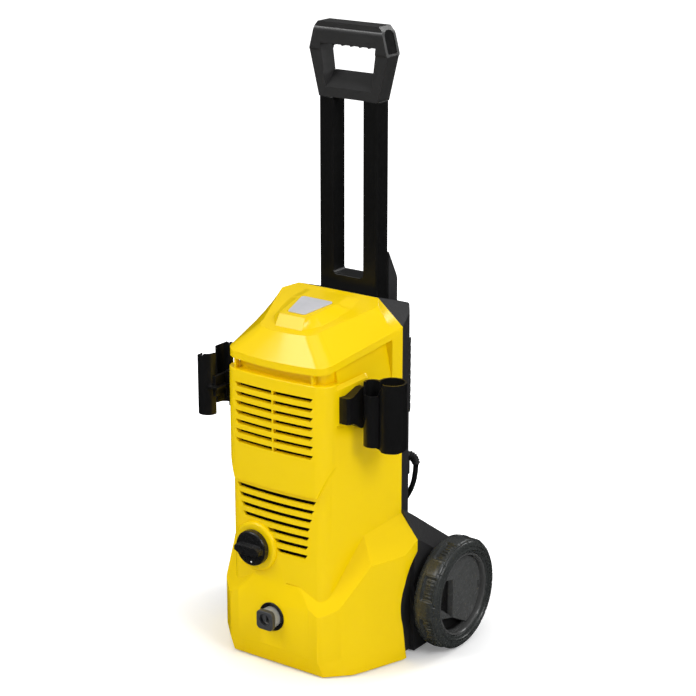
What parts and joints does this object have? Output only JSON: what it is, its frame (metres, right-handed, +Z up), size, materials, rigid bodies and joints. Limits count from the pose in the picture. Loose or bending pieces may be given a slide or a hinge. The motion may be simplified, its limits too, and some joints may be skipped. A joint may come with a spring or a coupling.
{
  "type": "pressure washer",
  "caption": "Upright electric pressure washer with a telescopic pull handle, rear wheels, side holders for gun and lance, and an inner motor and piston pump.",
  "frame": {"origin": "on the floor, under the middle of the machine's length and width, power cord left out", "axes": "+Z up, -Y to the front with the rotary switch, +X towards the side with the lance holder"},
  "size_m": [0.324, 0.4185, 0.783],
  "materials": {
    "yellow_shell": "satin gloss, moulded in colour",
    "grey_housing": "fine-grained matte",
    "handle_plastic": "matte",
    "grip_plastic": "satin",
    "cap_plastic": "matte",
    "holder_plastic": "satin",
    "knob_plastic": "satin gloss",
    "latch_plastic": "satin",
    "collar_grey": "satin",
    "badge_silver": "silver-grey lacquer, blank",
    "foot_rubber": "matte",
    "wheel_tyre": "semi-matte hard rubber",
    "wheel_plastic": "satin",
    "steel": "ground",
    "spring_steel": "oiled",
    "bearing_steel": "polished",
    "inner_plastic": "matte",
    "black_foam": "open-pored",
    "strainer_mesh": "translucent white",
    "hose_rubber": "matte",
    "motor_shell": "grey lacquer",
    "electrical_steel": "laminated",
    "copper_winding": "enamelled copper wire",
    "copper_bars": "turned copper",
    "carbon": "graphite",
    "brass_fittings": "turned",
    "gear_nylon": "natural nylon",
    "pump_aluminium": "die cast",
    "seal_rubber": "matte",
    "cord_black": "satin PVC",
    "tie_black": "woven strap"
  },
  "bodies": {
    "root": {"front_housing": "yellow_shell", "hood_trim": "yellow_shell", "badge_plate": "badge_silver", "rear_housing": "grey_housing", "base_tray": "grey_housing", "front_feet": "foot_rubber", "screws": "steel", "intake_baffle": "black_foam", "handle_guide": "inner_plastic", "axle": "steel", "lance_holder": "holder_plastic", "gun_holder": "holder_plastic", "switch_box": "inner_plastic", "outlet_ring": "knob_plastic", "outlet_socket": "collar_grey", "water_inlet": "inner_plastic", "inlet_strainer": "strainer_mesh", "inlet_hose": "hose_rubber", "motor_housing": "motor_shell", "motor_cap": "inner_plastic", "stator": "electrical_steel", "field_coils": "copper_winding", "brush_holders": "brass_fittings", "carbon_brushes": "carbon", "motor_bearings": "bearing_steel", "gear_housing": "pump_aluminium", "pistons": "steel", "piston_seals": "seal_rubber", "piston_springs": "spring_steel", "pump_head": "pump_aluminium", "check_valves": "brass_fittings", "pump_cover": "pump_aluminium", "pressure_switch": "inner_plastic", "strain_relief": "cord_black", "power_cord": "cord_black", "cord_tail": "cord_black", "cord_coil": "cord_black", "cord_tie": "tie_black", "power_plug": "cord_black", "cord_hook": "grey_housing"},
    "handle": {"handle_stem": "handle_plastic", "handle_grip": "grip_plastic", "grip_end_caps": "cap_plastic"},
    "wheel_left": {"wheel_left_tyre": "wheel_tyre", "wheel_left_rim": "wheel_plastic", "wheel_left_cover": "wheel_plastic"},
    "wheel_right": {"wheel_right_tyre": "wheel_tyre", "wheel_right_rim": "wheel_plastic", "wheel_right_cover": "wheel_plastic"},
    "knob": {"power_knob": "knob_plastic"},
    "rotor": {"rotor_core": "electrical_steel", "rotor_windings": "copper_winding", "rotor_shaft": "steel", "commutator": "copper_bars", "cooling_fan": "inner_plastic", "pinion": "steel"},
    "pump_drive": {"drive_gear": "gear_nylon", "swash_plate": "steel", "thrust_bearing": "bearing_steel"},
    "latch": {"outlet_latch": "latch_plastic"}
  },
  "joints": [
    {"name": "handle_slide", "type": "slide", "parent": "root", "child": "handle", "axis": [0, 0, -1], "range_m": [0, 0.21]},
    {"name": "wheel_left_spin", "type": "hinge", "parent": "root", "child": "wheel_left", "pos_m": [-0.145, 0.06715, 0.0722], "axis": [1, 0, 0], "continuous": true},
    {"name": "wheel_right_spin", "type": "hinge", "parent": "root", "child": "wheel_right", "pos_m": [0.145, 0.06715, 0.0722], "axis": [1, 0, 0], "continuous": true},
    {"name": "knob_turn", "type": "hinge", "parent": "root", "child": "knob", "pos_m": [-0.0298, -0.12635, 0.1545], "axis": [0, -1, 0], "range_deg": [-90, 0]},
    {"name": "rotor_spin", "type": "hinge", "parent": "root", "child": "rotor", "pos_m": [0, -0.05835, 0.3], "axis": [0, 0, 1], "continuous": true},
    {"name": "pump_spin", "type": "hinge", "parent": "root", "child": "pump_drive", "pos_m": [0, -0.02595, 0.19], "axis": [0, 0, 1], "continuous": true},
    {"name": "latch_press", "type": "slide", "parent": "root", "child": "latch", "axis": [0, 0, -1], "range_m": [0, 0.002], "stiffness_N_per_m": 400, "springref_m": -0.003}
  ],
  "couplings": [
    {"joint": "pump_spin", "follows": "rotor_spin", "ratio": -0.22727}
  ]
}
